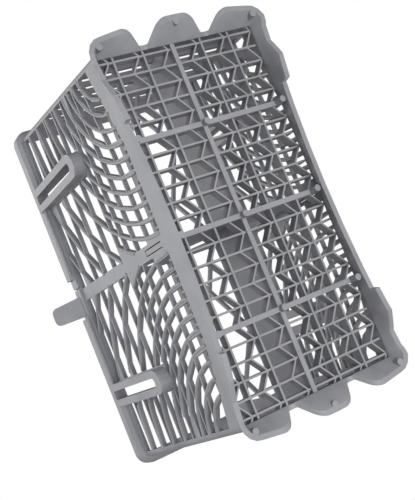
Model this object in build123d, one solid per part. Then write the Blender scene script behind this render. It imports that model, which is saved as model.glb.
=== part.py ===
import os
from math import asin, atan2, cos, degrees, pi, radians, sin

from build123d import *

# Cutlery basket of a dishwasher, moulded in one piece.
# Millimetres. The feet stand on z = 0, X runs along the basket, Y across it, Z up to the open rim.

# Walls and rim
floor_level = 15.0
rim_height = 165.0
half_length_floor = 116.0
half_length_rim = 121.0
half_width_floor = 58.0
half_width_rim = 62.0
wall = 3.0
corner_radius = 4.0
corner_lap = 0.5
corner_flats = 4
rim_band = 11.2
lip_out = 4.0
lip_height = 10.0
lip_slope = 2.5
lip_corner = 9.0
lip_gap_left = 16.0
lip_gap_right = 13.0
lip_gap_deep = 2.4

# Floor grid; the rib under the lengthwise divider stands a little off the middle
column_pitch = 20.5
column_shift = -3.2
row_pitch = 20.0
rows_per_bar = 3
thin_rib = 1.3
bar = 3.2
bar_drop = 1.6
spine = 3.0
spine_drop = 0.8
floor_depth = 7.0
valley_at = 9.8
apex_at = 17.4
bite = 0.8

# Skirt: hollow along the sides, lobed at the ends, with a foot near each corner
skirt_drop = 1.5
skirt_wall = 3.3
foot_middle = 53.8
foot_corner = 65.0
foot_corner_at = 110.0
foot_end = 126.2
foot_end_y = 51.0
foot_lobe = 132.4
edge_flats = 4
edge_raise = 4.8
foot_from = 71.0
foot_to = 86.0
foot_slope = 1.5
edge_rise = 6.0
edge_rise_from = 98.0
edge_rise_to = 108.0
end_raise = 4.4
end_from = 114.0
notch_at = 22.0
notch_half = 2.0
notch_spread = 9.0
notch_top = 14.6
notch_round = 4.0
lobe_round = 12.0
lobe_reach = 46.0
peg_radius = 2.2
peg_sides = 8
peg_side = 50.0
peg_side_bow = 2.0
peg_side_tip = 6.7
peg_middle_tip = 9.4
peg_end_tip = 3.4
peg_corner_x = 117.0
peg_corner_y = 54.5
peg_lobe = 122.6

# Long walls
margin = 4.4
band_half = 4.3
window_drop = 0.5
window_rise = 12.0
rail = 1.2
climb_from = 61.0
climbing_rails = [(34.6, 6.5), (52.0, 2.5)]
low_rail = 65.8
split_rail = 75.9
high_rails = [93.0, 110.1, 126.6, 143.5]
arc_x = 121.0
arc_z = 15.9
arc_flat = 0.95
arc_rib = 1.9
arc_step = 0.5
arc_reach = 0.97
main_first = 39.0
minor_first = 29.5
arc_pitch = 19.0
main_count = 8
minor_count = 6
least_opening = 50.0
tongue_half = 1.7
tongue_top = 41.5
tongue_low = 19.0
tongue_slit = 0.7

# Hanging loops on the long walls
loop_at = 73.0
loop_width = 16.0
loop_low = 73.0
loop_out = 5.4
loop_bite = 0.4
loop_edge = 0.8
loop_flats = 8
slot_width = 6.2
slot_low = 81.5
slot_below_rim = 9.4

# Tabs on the rim, one on each long side
tab_at = -7.0
tab_root = 14.5
tab_tip = 12.5
tab_length = 22.0
tab_thick = 2.4
tab_round = 4.0
tab_lean = 45.0
tab_slit = 1.2
tab_slit_at = 5.0

# End walls
end_margin = 4.4
end_post = 2.6
end_rail = 3.6
end_pitch = 17.0
end_low = 28.0

# Dividers inside
divider_below_rim = 33.0
divider_solid = 58.0
divider_frame = 5.0
divider_thick = 2.4
brace = 2.2
brace_pitch = 64.0

# Heights that follow from the floor and the rim; a cutter reaches past what it cuts
skirt_top = floor_level - skirt_drop
window_low = floor_level - window_drop
window_top = rim_height - rim_band
slot_top = rim_height - slot_below_rim
divider_top = rim_height - divider_below_rim
bar_pitch = rows_per_bar * row_pitch
reach_x = max(half_length_floor, half_length_rim)
past = 2.0


def half_length(z):
    share = (z - floor_level) / (rim_height - floor_level)
    return half_length_floor + (half_length_rim - half_length_floor) * share


def half_width(z):
    share = (z - floor_level) / (rim_height - floor_level)
    return half_width_floor + (half_width_rim - half_width_floor) * share


def turned(shape):
    # the same on the opposite side: the outer shell is alike after half a turn
    return Rot(0, 0, 180) * shape


def polygon(points):
    return make_face(Polyline(*points, close=True))


def mirrored(points):
    return [(-x, y) for x, y in points[::-1]]


def level_at(x, z, rise):
    # height of a line that is level in the middle of the wall and climbs towards its end
    return z + rise * max(0, x - climb_from) / (half_length_floor - climb_from)


def climbing_strip(z, rise, height):
    x1 = reach_x
    low = [(0, z), (climb_from, z), (x1, level_at(x1, z, rise))]
    return polygon(low + [(x, v + height) for x, v in low[::-1]])


def rib_side(r, lines):
    # one side of a curved rib: a slightly flattened circle about the lower corner of the wall,
    # straight from one rail to the next
    angles = []
    for z, rise in lines:
        height = (z - arc_z) / arc_flat
        for settle in range(3):
            if abs(height) < r * arc_reach:
                x = arc_x - (r**2 - height**2) ** 0.5
                height = (level_at(x, z, rise) - arc_z) / arc_flat
        if abs(height) < r * arc_reach:
            angles.append(asin(height / r))
    angles.append(pi / 2)
    steps = [angles[0]]
    for a in angles[1:]:
        start = steps[-1]
        parts = int((a - start) / arc_step) + 1
        steps += [start + (a - start) * (n + 1) / parts for n in range(parts)]
    return [(arc_x - r * cos(a), arc_z + arc_flat * r * sin(a)) for a in steps]


def curved_rib(radius, lines):
    inner = rib_side(radius - arc_rib / 2, lines)
    outer = rib_side(radius + arc_rib / 2, lines)
    return polygon(inner + outer[::-1])


def loop_outline(width, low, top):
    # an upright with a lower end rounded in a few flats
    r = width / 2
    turns = [pi * n / loop_flats for n in range(loop_flats + 1)]
    end = [(loop_at - r * cos(a), low + r - r * sin(a)) for a in turns]
    return polygon([(loop_at - r, top)] + end + [(loop_at + r, top)])


def right_openings():
    # the gaps of the lattice in the right half of a long wall, seen from outside
    flat_rails = [low_rail, split_rail] + [z for z in high_rails if z < window_top - rail]
    lines = [(window_low - margin, 0)] + climbing_rails + [(z, 0) for z in flat_rails] + [(window_top, 0)]
    mains = [curved_rib(main_first + arc_pitch * k, lines) for k in range(main_count)]
    minors = [curved_rib(minor_first + arc_pitch * k, lines) for k in range(minor_count)]
    x_low = half_length(window_low + window_rise) - margin
    x_split = half_length(split_rail) - margin
    x_top = half_length(window_top) - margin
    under = split_rail - rail / 2
    over = split_rail + rail / 2
    low_window = polygon(
        [
            (band_half, window_low),
            (climb_from, window_low),
            (x_low, window_low + window_rise),
            (x_split, under),
            (band_half, under),
        ]
    )
    high_window = polygon(
        [(band_half, over), (x_split, over), (x_top, window_top), (band_half, window_top)]
    )
    low_bars = [climbing_strip(z - rail / 2, rise, rail) for z, rise in climbing_rails]
    flat_bars = [Pos(reach_x / 2, z) * Rectangle(reach_x, rail) for z in flat_rails]
    pad = loop_outline(loop_width + 2 * loop_edge, loop_low - loop_edge, window_top + past)
    low_gaps = low_window - (mains + minors + low_bars + flat_bars)
    high_gaps = high_window - (mains + flat_bars + [pad])
    return [f for f in list(low_gaps.faces()) + list(high_gaps.faces()) if f.area > least_opening]


def tongue_slits():
    # the slit round three sides of the spring tongue in the middle band
    legs = [
        Pos(side * tongue_half, (tongue_low + tongue_top) / 2)
        * Rectangle(tongue_slit, tongue_top - tongue_low)
        for side in (-1, 1)
    ]
    head = Pos(0, tongue_top) * Rectangle(2 * tongue_half + tongue_slit, tongue_slit)
    return (head + legs).face()


def long_wall():
    # near long wall, leaning out with the draft; local x along X, local y up the slope
    lean = atan2(half_width_rim - half_width_floor, rim_height - floor_level)
    normal = Vector(0, -cos(lean), -sin(lean))
    plane = Plane(origin=(0, -half_width(0), 0), x_dir=(1, 0, 0), z_dir=normal)
    low = skirt_top - past
    high = rim_height + past
    x0 = half_length(low) - corner_lap
    x1 = half_length(high) - corner_lap
    outline = Polyline((-x0, low), (x0, low), (x1, high), (-x1, high), close=True)
    gaps = right_openings()
    holes = gaps + [f.mirror(Plane.YZ) for f in gaps] + [tongue_slits()]
    panel = Face(Wire(outline.edges()), [f.outer_wire() for f in holes])
    return extrude(plane * panel, -wall)


def loops():
    # upright loops that stand off the near wall, and the cutters of their slots
    front = Plane(origin=(0, -half_width_rim - loop_out, 0), x_dir=(1, 0, 0), z_dir=(0, -1, 0))
    deep = half_width_rim + loop_out - min(half_width(loop_low), half_width_rim) + loop_bite
    boss = extrude(front * loop_outline(loop_width, loop_low, rim_height - lip_height / 2), -deep)
    slot = extrude(front.offset(past) * loop_outline(slot_width, slot_low, slot_top), -deep - wall - 2 * past)
    return [boss, boss.mirror(Plane.YZ)], [slot, slot.mirror(Plane.YZ)]


def end_wall():
    # end wall at +X, leaning out with the draft; local x along Y, local y up the slope
    lean = atan2(half_length_rim - half_length_floor, rim_height - floor_level)
    normal = Vector(1, 0, 0).rotate(Axis.Y, degrees(lean))
    plane = Plane(origin=(half_length_floor, 0, floor_level), x_dir=(0, 1, 0), z_dir=normal)
    low = (skirt_top - past - floor_level) / cos(lean)
    high = (rim_height + past - floor_level) / cos(lean)
    y0 = half_width(skirt_top - past) - corner_lap
    y1 = half_width(rim_height + past) - corner_lap
    outline = Polyline((-y0, low), (y0, low), (y1, high), (-y1, high), close=True)
    first = (end_low - floor_level) / cos(lean)
    last = (window_top - floor_level) / cos(lean)
    count = int((last - first + end_rail) / end_pitch)
    gap = end_pitch - end_rail
    width = half_width(end_low) - end_margin - end_post / 2
    holes = []
    for k in range(count):
        v = first + k * end_pitch + gap / 2
        for side in (-1, 1):
            holes.append((Pos(side * (end_post / 2 + width / 2), v) * Rectangle(width, gap)).face())
    panel = Face(Wire(outline.edges()), [f.outer_wire() for f in holes])
    return extrude(plane * panel, -wall)


def wall_trims():
    # what is taken off the four walls: below, above, and outside the round upright corners
    def section(z):
        x = half_length(z)
        y = half_width(z)
        r = corner_radius
        square = [(x - r, y + past), (x + past, y + past), (x + past, y - r)]
        return Pos(0, 0, z) * polygon(square + corner_points(x - r, y - r, x, y)[::-1])

    corner = loft([section(skirt_top - 2 * past), section(rim_height + 2 * past)], ruled=True)
    pair = [corner, corner.mirror(Plane.XZ)]
    slab = Box(3 * half_length_rim, 3 * half_width_rim, 3 * past)
    below = Pos(0, 0, skirt_top - 1.5 * past) * slab
    above = Pos(0, 0, rim_height + 1.5 * past) * slab
    return pair + [s.mirror(Plane.YZ) for s in pair] + [below, above]


def column_at(k):
    return k * column_pitch + column_shift


def floor_grid():
    # straight ribs both ways and, in every strip between two of them, one zigzag rib
    x_in = half_length_floor - wall + bite
    y_in = half_width_floor - wall + bite
    half_row = row_pitch / 2
    rows = int((half_length_floor - wall - thin_rib) / half_row)
    reach = int(half_width_floor / column_pitch) + 1
    columns = [k for k in range(-reach, reach + 1) if abs(column_at(k)) < y_in - thin_rib]
    inside = Rectangle(2 * x_in, 2 * y_in)
    ribs = []
    for i in range(-rows, rows + 1):
        if i % 2 == 0:
            thick = thin_rib if i % (2 * rows_per_bar) else bar
            ribs.append(Pos(i * half_row, 0) * Rectangle(thick, 2 * y_in))
    for k in columns:
        thick = thin_rib if k else spine
        ribs.append(Pos(0, column_at(k)) * Rectangle(2 * x_in, thick))
    for k in [columns[0] - 1] + columns:
        for i in range(-rows, rows + 1):
            if i % 2:
                short = Pos(i * half_row, column_at(k) + apex_at / 2) * Rectangle(thin_rib, apex_at)
                ribs.append(inside & short)
        line = []
        for i in range(-rows - 1, rows + 2):
            line.append((i * half_row, column_at(k) + (apex_at if i % 2 else valley_at)))
        upper = [(x, y + thin_rib / 2) for x, y in line]
        lower = [(x, y - thin_rib / 2) for x, y in line]
        ribs.append(inside & polygon(lower + upper[::-1]))
    grid = extrude(Pos(0, 0, floor_level) * (Sketch() + ribs), floor_depth)
    hung = (Align.CENTER, Align.CENTER, Align.MAX)
    low_bar = Box(bar, 2 * y_in, bar_drop, align=hung)
    count = int(x_in / bar_pitch)
    low_bars = [Pos(i * bar_pitch, 0, floor_level) * low_bar for i in range(-count, count + 1)]
    low_spine = Pos(0, column_shift, floor_level) * Box(2 * x_in, spine, spine_drop, align=hung)
    return [grid, low_spine] + low_bars


def corner_points(x0, y0, x1, y1):
    # a quarter of an ellipse from (x0, y1) to (x1, y0), in a few flats
    turns = [pi / 2 * n / corner_flats for n in range(corner_flats + 1)]
    return [(x0 + (x1 - x0) * sin(t), y0 + (y1 - y0) * cos(t)) for t in turns]


def all_round(quarter):
    # a closed outline from the points of its first quarter
    right = quarter + [(x, -y) for x, y in quarter[-2::-1]]
    return polygon(right + [(-x, y) for x, y in right[-2:0:-1]])


def foot_outline(inset):
    # outline of the skirt at the feet: long sides hollow towards the middle, ends bowed out
    a = foot_corner_at
    b = foot_corner - inset
    m = foot_middle - inset
    e = foot_end - inset
    f = foot_end_y
    g = foot_lobe - inset
    shares = [n / edge_flats for n in range(edge_flats)]
    side = [(a * t, m + (b - m) * t**2) for t in shares]
    end = [(g - (g - e) * t**2, f * t) for t in shares]
    return all_round(side + corner_points(a, f, e, b) + end[::-1])


def wall_outline(z, inset):
    x = half_length(z) - inset
    y = half_width(z) - inset
    r = max(corner_radius - inset, corner_lap)
    shares = [n / edge_flats for n in range(edge_flats)]
    side = [((x - r) * t, y) for t in shares]
    end = [(x, (y - r) * t) for t in shares]
    return all_round(side + corner_points(x - r, y - r, x, y) + end[::-1])


def skirt():
    # the flared shell under the walls, with the pegs that stand in its ends and corners
    outer, inner = [
        loft([foot_outline(inset), Pos(0, 0, skirt_top) * wall_outline(skirt_top, inset)], ruled=True)
        for inset in (0, skirt_wall)
    ]
    places = [(side * peg_lobe, 0) for side in (-1, 1)]
    places += [(a * peg_corner_x, b * peg_corner_y) for a in (-1, 1) for b in (-1, 1)]
    # a peg ends at the skirt, or goes up to the ribs where it stands under the floor
    top = floor_level + past / 2
    standing = (Align.CENTER, Align.CENTER, Align.MIN)
    length = 2 * (half_length_floor - wall)
    width = 2 * (half_width_floor - wall)
    room = outer + Pos(0, 0, skirt_top) * Box(length, width, top - skirt_top, align=standing)
    return [outer - inner] + [room & peg(x, y, peg_end_tip, top) for x, y in places]


def edge_cuts():
    # lower edge of the long sides: raised between the feet and again towards the ends
    h = foot_from
    far = foot_lobe + past
    middle = polygon(
        [(-h, -past), (h, -past), (h - foot_slope, edge_raise), (-h + foot_slope, edge_raise)]
    )
    start = foot_to - past * (edge_rise_from - foot_to) / edge_rise
    end = [
        (start, -past),
        (far, -past),
        (far, end_raise),
        (end_from, end_raise),
        (edge_rise_to, edge_rise),
        (edge_rise_from, edge_rise),
    ]
    sides = [middle, polygon(end), polygon(mirrored(end))]
    return [extrude(Plane.XZ * s, 2 * half_width_rim, both=True) for s in sides]


def lobe_cuts():
    # round notches that part each end of the skirt into three lobes
    a = notch_at - notch_half
    b = notch_at + notch_half
    top = notch_top + past
    right = [
        (a - notch_spread, end_raise),
        (a, notch_top),
        (b, notch_top),
        (b + notch_spread, end_raise),
        (lobe_reach, end_raise),
        (lobe_reach, top),
    ]
    lobes = polygon(right + mirrored(right))
    tips = [v for v in lobes.vertices() if abs(v.Y - end_raise) < 0.1 and abs(v.X) < lobe_reach - past]
    lobes = fillet(tips, lobe_round)
    roots = [v for v in lobes.vertices() if abs(v.Y - notch_top) < 0.1]
    lobes = fillet(roots, notch_round)
    block = polygon([(-lobe_reach, -past), (lobe_reach, -past), (lobe_reach, top), (-lobe_reach, top)])
    plane = Plane.YZ.offset(half_length_floor - wall - past)
    cut = extrude(plane * (block - lobes), foot_lobe - half_length_floor + 3 * wall)
    return [cut, turned(cut)]


def peg(x, y, low, high):
    return extrude(Pos(x, y, low) * RegularPolygon(peg_radius, peg_sides), high - low)


def pegs():
    # pegs under the crossings of the heavier bars
    out = []
    count = int(half_length_floor / bar_pitch)
    top = floor_level + past / 2
    for i in range(-count, count + 1):
        x = i * bar_pitch
        y = peg_side + peg_side_bow * (i / count) ** 2
        out.append(peg(x, column_shift, peg_middle_tip, top))
        out += [peg(x, side * y, peg_side_tip, top) for side in (-1, 1)]
    return out


def rim():
    # lip round the open top, cut back beside the tabs
    z0 = rim_height - lip_height
    outer = RectangleRounded(2 * (half_length_rim + lip_out), 2 * (half_width_rim + lip_out), lip_corner)
    inner = Rectangle(2 * half_length_rim - wall, 2 * half_width_rim - wall)
    ring = extrude(Pos(0, 0, z0) * outer, lip_height)
    ring = chamfer(ring.edges().group_by(Axis.Z)[0], lip_slope)
    ring -= extrude(Pos(0, 0, z0) * inner, lip_height)
    corner = (Align.MIN, Align.MIN, Align.MIN)
    gap = Box(lip_gap_left + lip_gap_right, lip_gap_deep, lip_height, align=corner)
    slit = Box(tab_slit, lip_out, lip_height, align=corner)
    outside = -half_width_rim - lip_out
    cuts = [Pos(-lip_gap_left, outside, z0) * gap, Pos(tab_slit_at, outside, z0) * slit]
    return ring - (cuts + [turned(c) for c in cuts])


def tab():
    # a flat tongue that leans outwards from the top of the rim
    root = tab_root / 2
    tip = tab_tip / 2
    plan = polygon([(-root, -past), (root, -past), (tip, tab_length), (-tip, tab_length)])
    plan = fillet(plan.vertices().group_by(Axis.Y)[-1], tab_round)
    y = -half_width_rim - lip_out + lip_gap_deep
    up = Vector(0, -sin(radians(tab_lean)), cos(radians(tab_lean)))
    normal = Vector(1, 0, 0).cross(up)
    plane = Plane(origin=(tab_at, y, rim_height - tab_thick), x_dir=(1, 0, 0), z_dir=normal)
    return extrude(plane * plan, tab_thick)


def lattice_plate(half_at):
    # an upright plate between two walls, closed below and braced with crossing bars above
    low = floor_level + past / 2
    top = divider_top
    x0 = half_at(low) - wall + bite
    x1 = half_at(top) - wall + bite
    outline = Polyline((-x0, low), (x0, low), (x1, top), (-x1, top), close=True)
    high = top - divider_frame
    window = Rectangle(2 * (min(x0, x1) - divider_frame), high - divider_solid)
    window = Pos(0, (divider_solid + high) / 2) * window
    bars = []
    n = int(x0 / brace_pitch) + 3
    for i in range(-n, n + 1):
        for turn in (45, -45):
            bars.append(Pos(i * brace_pitch, divider_solid) * Rot(0, 0, turn) * Rectangle(brace, 4 * x0))
    gaps = [f for f in (window - bars).faces() if f.area > least_opening]
    return Face(Wire(outline.edges()), [f.outer_wire() for f in gaps])


def dividers():
    thick = divider_thick / 2
    lengthwise = extrude(Plane.XZ.offset(-column_shift) * lattice_plate(half_length), thick, both=True)
    across = extrude(Plane.YZ * lattice_plate(half_width), thick, both=True)
    return [lengthwise, across]


near = long_wall()
right_end = end_wall()
box_walls = near + [turned(near), right_end, turned(right_end)]
box_walls -= wall_trims()

bosses, slots = loops()
outside = bosses + [tab()]
outside += [turned(s) for s in outside]
slots += [turned(s) for s in slots]
body = box_walls + (outside + skirt() + floor_grid() + dividers() + pegs() + [rim()])
body -= edge_cuts() + lobe_cuts() + slots

os.makedirs("parts", exist_ok=True)
body.label = "cutlery_basket"
export_step(body, "parts/cutlery_basket.step")
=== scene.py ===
from math import cos, pi, sin

import bpy
from mathutils import Matrix, Vector


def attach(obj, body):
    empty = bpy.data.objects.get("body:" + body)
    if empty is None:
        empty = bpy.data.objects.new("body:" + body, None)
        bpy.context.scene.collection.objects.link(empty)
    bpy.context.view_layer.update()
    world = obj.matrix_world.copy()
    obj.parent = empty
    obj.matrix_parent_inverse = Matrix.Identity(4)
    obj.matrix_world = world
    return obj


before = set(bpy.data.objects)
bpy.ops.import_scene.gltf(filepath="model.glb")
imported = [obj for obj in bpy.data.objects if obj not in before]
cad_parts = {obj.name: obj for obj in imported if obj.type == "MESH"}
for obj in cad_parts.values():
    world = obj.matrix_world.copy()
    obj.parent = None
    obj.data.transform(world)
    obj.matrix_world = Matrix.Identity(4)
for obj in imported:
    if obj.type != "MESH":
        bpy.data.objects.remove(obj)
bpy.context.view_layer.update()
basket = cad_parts["cutlery_basket"]
print("frame loaded:", len(basket.data.vertices), "vertices in the moulding")


# grey polypropylene, as it comes out of the mould
greyPlastic = {
    "light": (0.312, 0.314, 0.334, 1),
    "dark": (0.260, 0.262, 0.280, 1),
    "cloudScale": 38.0,  # soft flow marks, patches of about 25 mm
    "cloudDetail": 3.0,
    "cloudRough": 0.55,
    "darkUpTo": 0.32,
    "lightFrom": 0.62,
    "grainScale": 1500.0,  # fine spark-eroded grain
    "grainDetail": 2.0,
    "grainStrength": 0.05,
    "grainDepth": 0.0004,
    "roughLow": 0.40,
    "roughHigh": 0.58,
    "specular": 0.42,
}


def addNode(tree, kind, x, y, **sockets):
    node = tree.nodes.new(kind)
    node.location = (x, y)
    for name, value in sockets.items():
        node.inputs[name].default_value = value
    return node


def makeGreyPlastic(look):
    material = bpy.data.materials.new("greyMouldedPlastic")
    material.use_nodes = True
    tree = material.node_tree
    tree.nodes.clear()
    link = tree.links.new
    out = addNode(tree, "ShaderNodeOutputMaterial", 700, 0)
    shader = addNode(tree, "ShaderNodeBsdfPrincipled", 400, 0)
    shader.inputs["Specular IOR Level"].default_value = look["specular"]
    place = addNode(tree, "ShaderNodeTexCoord", -800, 0)

    cloud = addNode(tree, "ShaderNodeTexNoise", -550, 200, Scale=look["cloudScale"])
    cloud.inputs["Detail"].default_value = look["cloudDetail"]
    cloud.inputs["Roughness"].default_value = look["cloudRough"]
    tone = addNode(tree, "ShaderNodeValToRGB", -250, 250)
    tone.color_ramp.elements[0].position = look["darkUpTo"]
    tone.color_ramp.elements[0].color = look["dark"]
    tone.color_ramp.elements[1].position = look["lightFrom"]
    tone.color_ramp.elements[1].color = look["light"]
    sheen = addNode(tree, "ShaderNodeMapRange", -250, 0)
    sheen.inputs["To Min"].default_value = look["roughLow"]
    sheen.inputs["To Max"].default_value = look["roughHigh"]

    grain = addNode(tree, "ShaderNodeTexNoise", -550, -250, Scale=look["grainScale"])
    grain.inputs["Detail"].default_value = look["grainDetail"]
    relief = addNode(tree, "ShaderNodeBump", 100, -250, Strength=look["grainStrength"])
    relief.inputs["Distance"].default_value = look["grainDepth"]

    link(place.outputs["Object"], cloud.inputs["Vector"])
    link(place.outputs["Object"], grain.inputs["Vector"])
    link(cloud.outputs["Fac"], tone.inputs["Fac"])
    link(cloud.outputs["Fac"], sheen.inputs["Value"])
    link(tone.outputs["Color"], shader.inputs["Base Color"])
    link(sheen.outputs["Result"], shader.inputs["Roughness"])
    link(grain.outputs["Fac"], relief.inputs["Height"])
    link(relief.outputs["Normal"], shader.inputs["Normal"])
    link(shader.outputs["BSDF"], out.inputs["Surface"])
    return material


# every edge of the moulding is a little soft
softEdges = {"merge": 1e-6, "width": 0.00022, "segments": 2, "angle": 0.6}


def softenEdges(obj, size):
    weld = obj.modifiers.new("weld", "WELD")
    weld.merge_threshold = size["merge"]
    soft = obj.modifiers.new("softEdges", "BEVEL")
    soft.width = size["width"]
    soft.segments = size["segments"]
    soft.limit_method = "ANGLE"
    soft.angle_limit = size["angle"]
    soft.use_clamp_overlap = True


plastic = makeGreyPlastic(greyPlastic)
basket.data.materials.clear()
basket.data.materials.append(plastic)
softenEdges(basket, softEdges)
print("moulding dressed in", plastic.name)


# short webs that tie each point of the zigzag ribs to the next straight rib
tieWebs = {
    "along": 12,  # rows of points
    "across": 5,
    "rowStep": 0.020,
    "stripStep": 0.0205,
    "firstRow": -0.110,
    "firstStrip": -0.0647,
    "fromRib": 0.0188,  # middle of a web, from the straight rib behind it
    "thick": 0.0013,
    "long": 0.0028,
    "low": 0.0155,
    "high": 0.0218,
}


def addInput(tree, name, kind, value):
    socket = tree.interface.new_socket(name, in_out="INPUT", socket_type=kind)
    socket.default_value = value
    return socket


def keepResult(obj, rig):
    # what the rig makes becomes the object's own mesh
    bpy.context.view_layer.update()
    seen = obj.evaluated_get(bpy.context.evaluated_depsgraph_get())
    plain = bpy.data.meshes.new_from_object(seen)
    obj.modifiers.remove(rig)
    obj.data = plain
    plain.name = obj.name


def makeTieWebs(size, material):
    tree = bpy.data.node_groups.new("tieWebRows", "GeometryNodeTree")
    tree.is_modifier = True
    sockets = {
        "rows": addInput(tree, "Rows", "NodeSocketInt", 2),
        "strips": addInput(tree, "Strips", "NodeSocketInt", 2),
        "spreadX": addInput(tree, "Spread Along", "NodeSocketFloat", 0.1),
        "spreadY": addInput(tree, "Spread Across", "NodeSocketFloat", 0.1),
        "middle": addInput(tree, "Middle", "NodeSocketVector", (0, 0, 0)),
        "web": addInput(tree, "Web Size", "NodeSocketVector", (0.001, 0.001, 0.001)),
    }
    tree.interface.new_socket("Geometry", in_out="OUTPUT", socket_type="NodeSocketGeometry")
    link = tree.links.new
    given = addNode(tree, "NodeGroupInput", -700, 0)
    grid = addNode(tree, "GeometryNodeMeshGrid", -450, 150)
    move = addNode(tree, "GeometryNodeTransform", -200, 150)
    web = addNode(tree, "GeometryNodeMeshCube", -450, -150)
    rows = addNode(tree, "GeometryNodeInstanceOnPoints", 50, 0)
    real = addNode(tree, "GeometryNodeRealizeInstances", 300, 0)
    paint = addNode(tree, "GeometryNodeSetMaterial", 500, 0, Material=material)
    done = addNode(tree, "NodeGroupOutput", 700, 0)
    link(given.outputs["Rows"], grid.inputs["Vertices X"])
    link(given.outputs["Strips"], grid.inputs["Vertices Y"])
    link(given.outputs["Spread Along"], grid.inputs["Size X"])
    link(given.outputs["Spread Across"], grid.inputs["Size Y"])
    link(given.outputs["Middle"], move.inputs["Translation"])
    link(given.outputs["Web Size"], web.inputs["Size"])
    link(grid.outputs["Mesh"], move.inputs["Geometry"])
    link(move.outputs["Geometry"], rows.inputs["Points"])
    link(web.outputs["Mesh"], rows.inputs["Instance"])
    link(rows.outputs["Instances"], real.inputs["Geometry"])
    link(real.outputs["Geometry"], paint.inputs["Geometry"])
    link(paint.outputs["Geometry"], done.inputs["Geometry"])

    obj = bpy.data.objects.new("tieWebs", bpy.data.meshes.new("tieWebs"))
    bpy.context.collection.objects.link(obj)
    rig = obj.modifiers.new("rows", "NODES")
    rig.node_group = tree
    spreadX = (size["along"] - 1) * size["rowStep"]
    spreadY = (size["across"] - 1) * size["stripStep"]
    rig[sockets["rows"].identifier] = size["along"]
    rig[sockets["strips"].identifier] = size["across"]
    rig[sockets["spreadX"].identifier] = spreadX
    rig[sockets["spreadY"].identifier] = spreadY
    rig[sockets["middle"].identifier] = (
        size["firstRow"] + spreadX / 2,
        size["firstStrip"] + size["fromRib"] + spreadY / 2,
        (size["low"] + size["high"]) / 2,
    )
    rig[sockets["web"].identifier] = (size["thick"], size["long"], size["high"] - size["low"])
    keepResult(obj, rig)
    return obj


webs = makeTieWebs(tieWebs, plastic)
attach(webs, "root")
print("tie webs:", len(webs.data.polygons), "faces")


# round fronts of the walls' curved ribs, and a bead along the lip's lower edge
roundRibs = {
    "arcX": 0.121,  # all ribs of a half run round this point, on slightly flattened circles
    "arcZ": 0.0159,
    "flat": 0.95,
    "pitch": 0.019,
    "mainFirst": 0.039,
    "mainCount": 8,
    "minorFirst": 0.0295,
    "minorCount": 6,
    "minorTop": 0.0759,
    "mainTop": 0.1538,
    "low": 0.0145,  # lower edge of the lattice, climbing towards the ends
    "climb": 0.012,
    "climbFrom": 0.061,
    "climbTo": 0.112,
    "bandHalf": 0.0043,
    "margin": 0.0044,
    "lap": 0.0008,
    "loopAt": 0.073,
    "loopHalf": 0.0088,
    "loopLow": 0.0722,
    "radius": 0.00125,
    "sunk": 0.0006,
    "steps": 72,
    "sides": 8,
}
draft = {
    "floor": 0.015,
    "rim": 0.165,
    "halfWidth": (0.058, 0.062),
    "halfLength": (0.116, 0.121),
}
lipBeads = {
    "from": 0.0152,  # beside the tab
    "to": 0.0655,  # at the loop
    "out": 0.0651,
    "wall": 0.0612,
    "height": 0.1562,
    "radius": 0.00125,
    "sides": 10,
    "steps": 10,
}


def atHeight(pair, z):
    share = (z - draft["floor"]) / (draft["rim"] - draft["floor"])
    return pair[0] + (pair[1] - pair[0]) * share


def inLattice(size, x, z, top):
    lap = size["lap"]
    climbed = max(0, x - size["climbFrom"]) / (size["climbTo"] - size["climbFrom"])
    if z < size["low"] + size["climb"] * climbed - lap or z > top + lap:
        return False
    if x < size["bandHalf"] - lap or x > atHeight(draft["halfLength"], z) - size["margin"] + lap:
        return False
    dx = x - size["loopAt"]
    dz = min(0, z - size["loopLow"] - size["loopHalf"])
    return dx * dx + dz * dz > size["loopHalf"] ** 2 or z < size["loopLow"]


def ribRuns(size):
    # middle lines of the ribs on the right half of a long wall, broken where the loop covers them
    rows = [(size["mainFirst"] + size["pitch"] * k, size["mainTop"]) for k in range(size["mainCount"])]
    rows += [(size["minorFirst"] + size["pitch"] * k, size["minorTop"]) for k in range(size["minorCount"])]
    runs = []
    for radius, top in rows:
        run = []
        for n in range(size["steps"] + 1):
            angle = pi / 2 * n / size["steps"]
            x = size["arcX"] - radius * cos(angle)
            z = size["arcZ"] + size["flat"] * radius * sin(angle)
            if inLattice(size, x, z, top):
                run.append((x, -atHeight(draft["halfWidth"], z) + size["sunk"], z))
            elif run:
                runs.append(run)
                run = []
        if run:
            runs.append(run)
    return [run for run in runs if len(run) > 1]


def lipRuns(size):
    # along the lip's lower edge, curling in to the wall beside the tab
    bend = (size["out"] - size["wall"]) / 2
    run = [(size["to"], -size["out"], size["height"])]
    for n in range(size["steps"] + 1):
        angle = pi * n / size["steps"]
        x = size["from"] + bend - bend * sin(angle)
        run.append((x, -size["out"] + bend - bend * cos(angle), size["height"]))
    return [run]


def onBothWalls(runs):
    out = []
    for sx in (1, -1):
        for sy in (1, -1):
            out += [[(x * sx, y * sy, z) for x, y, z in run] for run in runs]
    return out


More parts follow.
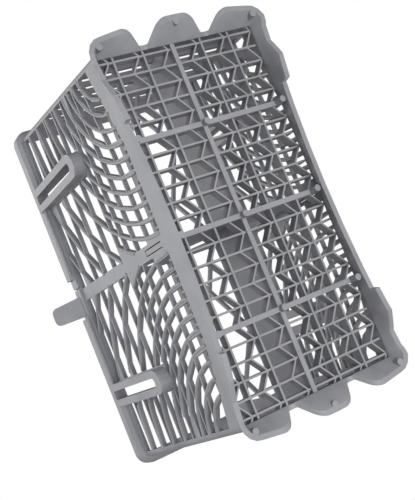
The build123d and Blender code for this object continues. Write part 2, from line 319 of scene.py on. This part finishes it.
def makeTubes(name, runs, size, material):
    points = [p for run in runs for p in run]
    edges = []
    start = 0
    for run in runs:
        edges += [(start + n, start + n + 1) for n in range(len(run) - 1)]
        start += len(run)
    lines = bpy.data.meshes.new(name)
    lines.from_pydata(points, edges, [])
    tree = bpy.data.node_groups.new(name + "Round", "GeometryNodeTree")
    tree.is_modifier = True
    tree.interface.new_socket("Geometry", in_out="INPUT", socket_type="NodeSocketGeometry")
    radius = addInput(tree, "Radius", "NodeSocketFloat", 0.001)
    sides = addInput(tree, "Sides", "NodeSocketInt", 8)
    tree.interface.new_socket("Geometry", in_out="OUTPUT", socket_type="NodeSocketGeometry")
    link = tree.links.new
    given = addNode(tree, "NodeGroupInput", -600, 0)
    path = addNode(tree, "GeometryNodeMeshToCurve", -350, 100)
    ring = addNode(tree, "GeometryNodeCurvePrimitiveCircle", -350, -150)
    tube = addNode(tree, "GeometryNodeCurveToMesh", -100, 0)
    tube.inputs["Fill Caps"].default_value = True
    smooth = addNode(tree, "GeometryNodeSetShadeSmooth", 150, 0)
    paint = addNode(tree, "GeometryNodeSetMaterial", 350, 0, Material=material)
    done = addNode(tree, "NodeGroupOutput", 550, 0)
    link(given.outputs["Geometry"], path.inputs["Mesh"])
    link(given.outputs["Radius"], ring.inputs["Radius"])
    link(given.outputs["Sides"], ring.inputs["Resolution"])
    link(path.outputs["Curve"], tube.inputs["Curve"])
    link(ring.outputs["Curve"], tube.inputs["Profile Curve"])
    link(tube.outputs["Mesh"], smooth.inputs["Geometry"])
    link(smooth.outputs["Geometry"], paint.inputs["Geometry"])
    link(paint.outputs["Geometry"], done.inputs["Geometry"])

    obj = bpy.data.objects.new(name, lines)
    bpy.context.collection.objects.link(obj)
    rig = obj.modifiers.new("round", "NODES")
    rig.node_group = tree
    rig[radius.identifier] = size["radius"]
    rig[sides.identifier] = size["sides"]
    keepResult(obj, rig)
    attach(obj, "root")
    return obj


ribFronts = makeTubes("roundRibs", onBothWalls(ribRuns(roundRibs)), roundRibs, plastic)
lipEdges = makeTubes("lipBeads", onBothWalls(lipRuns(lipBeads)), lipBeads, plastic)
print("round ribs:", len(ribFronts.data.polygons), "faces")
print("lip beads:", len(lipEdges.data.polygons), "faces")


# the photograph's view: from below and in front, long side rising to the right
viewpoint = {
    "place": (-0.0567, -0.2923, -0.459),
    "right": (-0.378, 0.827, -0.416),
    "up": (0.922, 0.297, -0.248),
    "lens": 67.3,
    "sensor": 36,
    "nearest": 0.01,
}


def makeCamera(view):
    right = Vector(view["right"]).normalized()
    up = Vector(view["up"])
    up = (up - right * up.dot(right)).normalized()
    back = right.cross(up)
    turn = Matrix((right, up, back)).transposed().to_4x4()
    data = bpy.data.cameras.new("photoCamera")
    data.lens = view["lens"]
    data.sensor_width = view["sensor"]
    data.clip_start = view["nearest"]
    camera = bpy.data.objects.new("photoCamera", data)
    camera.matrix_world = Matrix.Translation(view["place"]) @ turn
    bpy.context.collection.objects.link(camera)
    bpy.context.scene.camera = camera


makeCamera(viewpoint)
print("camera set")


# pale studio: soft lights all round, and a floor that only shows from above
studio = {
    "floorSize": 6.0,
    "floorDrop": 0.0004,
    "floorColour": (0.86, 0.86, 0.865, 1),
    "floorGlow": 0.3,
    "floorRough": 0.8,
    "worldColour": (1.0, 1.0, 1.0, 1),
    "worldSeen": 1.0,
    "worldLight": 0.26,
    "lamps": [
        # name, place, size, watts
        ("frontSoft", (-0.3, -0.28, -1.18), 0.7, 8.5),
        ("underSoft", (0.05, 0.12, -1.15), 0.5, 5.0),
        ("sideSoft", (0.35, -1.9, 0.7), 1.2, 21.0),
        ("topSoft", (0.4, -0.7, 1.3), 1.0, 6.0),
        ("backSoft", (-0.8, 0.9, 0.8), 0.9, 3.0),
    ],
    "aim": (0.0, 0.0, 0.08),
}


def makeFloor(look):
    half = look["floorSize"] / 2
    z = -look["floorDrop"]
    mesh = bpy.data.meshes.new("studioFloor")
    corners = [(-half, -half, z), (half, -half, z), (half, half, z), (-half, half, z)]
    mesh.from_pydata(corners, [], [(0, 1, 2, 3)])
    floor = bpy.data.objects.new("studioFloor", mesh)
    bpy.context.collection.objects.link(floor)
    material = bpy.data.materials.new("paleFloor")
    material.use_nodes = True
    tree = material.node_tree
    shader = tree.nodes["Principled BSDF"]
    shader.inputs["Base Color"].default_value = look["floorColour"]
    shader.inputs["Roughness"].default_value = look["floorRough"]
    shader.inputs["Emission Color"].default_value = look["floorColour"]
    shader.inputs["Emission Strength"].default_value = look["floorGlow"]
    side = addNode(tree, "ShaderNodeNewGeometry", -300, 300)
    clear = addNode(tree, "ShaderNodeBsdfTransparent", 0, 250)
    mix = addNode(tree, "ShaderNodeMixShader", 300, 200)
    out = tree.nodes["Material Output"]
    tree.links.new(side.outputs["Backfacing"], mix.inputs["Fac"])
    tree.links.new(shader.outputs["BSDF"], mix.inputs[1])
    tree.links.new(clear.outputs["BSDF"], mix.inputs[2])
    tree.links.new(mix.outputs["Shader"], out.inputs["Surface"])
    mesh.materials.append(material)
    floor.visible_shadow = False
    floor.visible_diffuse = False


def makeLamp(name, place, size, watts, aim):
    data = bpy.data.lights.new(name, "AREA")
    data.size = size
    data.energy = watts
    lamp = bpy.data.objects.new(name, data)
    lamp.location = place
    lamp.rotation_euler = (Vector(aim) - Vector(place)).to_track_quat("-Z", "Y").to_euler()
    lamp.visible_camera = False
    bpy.context.collection.objects.link(lamp)


makeFloor(studio)
for name, place, size, watts in studio["lamps"]:
    makeLamp(name, place, size, watts, studio["aim"])


def makeWorld(look):
    # the backdrop is seen white, and gives less light than it shows
    world = bpy.data.worlds.new("paleStudio")
    world.use_nodes = True
    tree = world.node_tree
    seen = tree.nodes["Background"]
    seen.inputs["Color"].default_value = look["worldColour"]
    path = addNode(tree, "ShaderNodeLightPath", -500, 200)
    strength = addNode(tree, "ShaderNodeMapRange", -250, 100)
    strength.inputs["To Min"].default_value = look["worldLight"]
    strength.inputs["To Max"].default_value = look["worldSeen"]
    tree.links.new(path.outputs["Is Camera Ray"], strength.inputs["Value"])
    tree.links.new(strength.outputs["Result"], seen.inputs["Strength"])
    bpy.context.scene.world = world


makeWorld(studio)
bpy.context.scene.view_settings.view_transform = "Standard"
print("studio lit")
